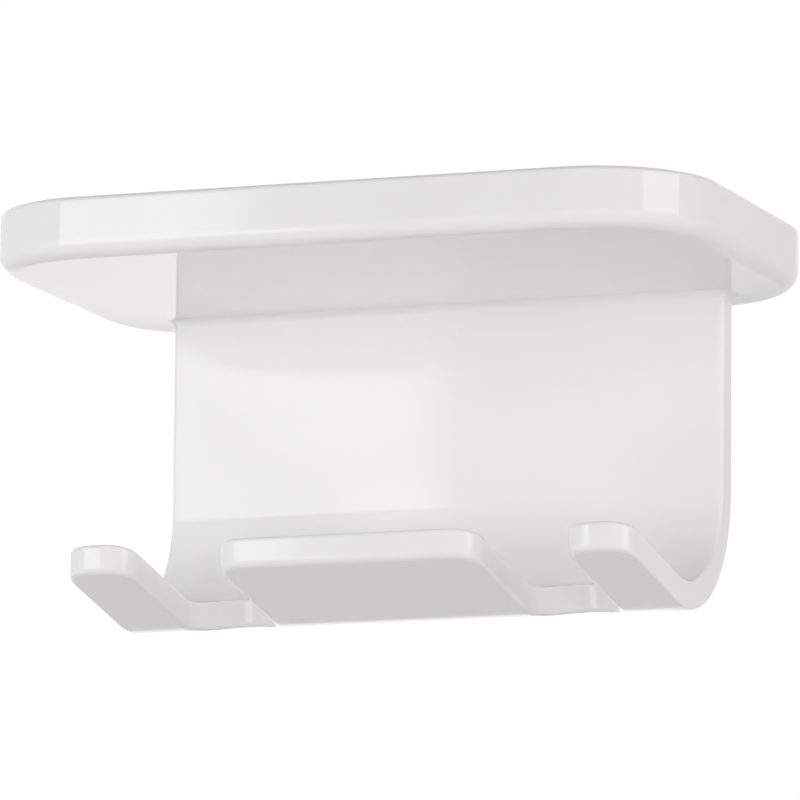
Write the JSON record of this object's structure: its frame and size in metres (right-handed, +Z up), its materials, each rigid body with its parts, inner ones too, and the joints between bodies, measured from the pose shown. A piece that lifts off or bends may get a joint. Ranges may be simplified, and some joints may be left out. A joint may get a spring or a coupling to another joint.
{
  "type": "electric toothbrush holder",
  "caption": "Wall holder in white gloss plastic: a shallow tray over a back plate whose slotted arms carry electric toothbrushes, hung on suction cups.",
  "frame": {"origin": "middle of the flat rear face of the tray's rim, on the wall plane", "axes": "+X to the holder's right as seen from the room, +Y into the wall, +Z up"},
  "size_m": [0.18, 0.1144, 0.0956],
  "materials": {
    "gloss_white": "polished white moulding",
    "screw_steel": "plain stainless",
    "clear_cup": "soft translucent"
  },
  "bodies": {
    "wall_cups": {"suction_cup_left": "clear_cup", "suction_cup_right": "clear_cup"},
    "holder": {"shelf_tray": "gloss_white", "hook_bracket": "gloss_white", "tray_screw_1": "screw_steel", "tray_screw_2": "screw_steel", "tray_screw_3": "screw_steel", "tray_screw_4": "screw_steel"}
  },
  "joints": [
    {"name": "lift_off", "type": "slide", "parent": "wall_cups", "child": "holder", "axis": [0, 0, 1], "range_m": [0, 0.03]}
  ]
}
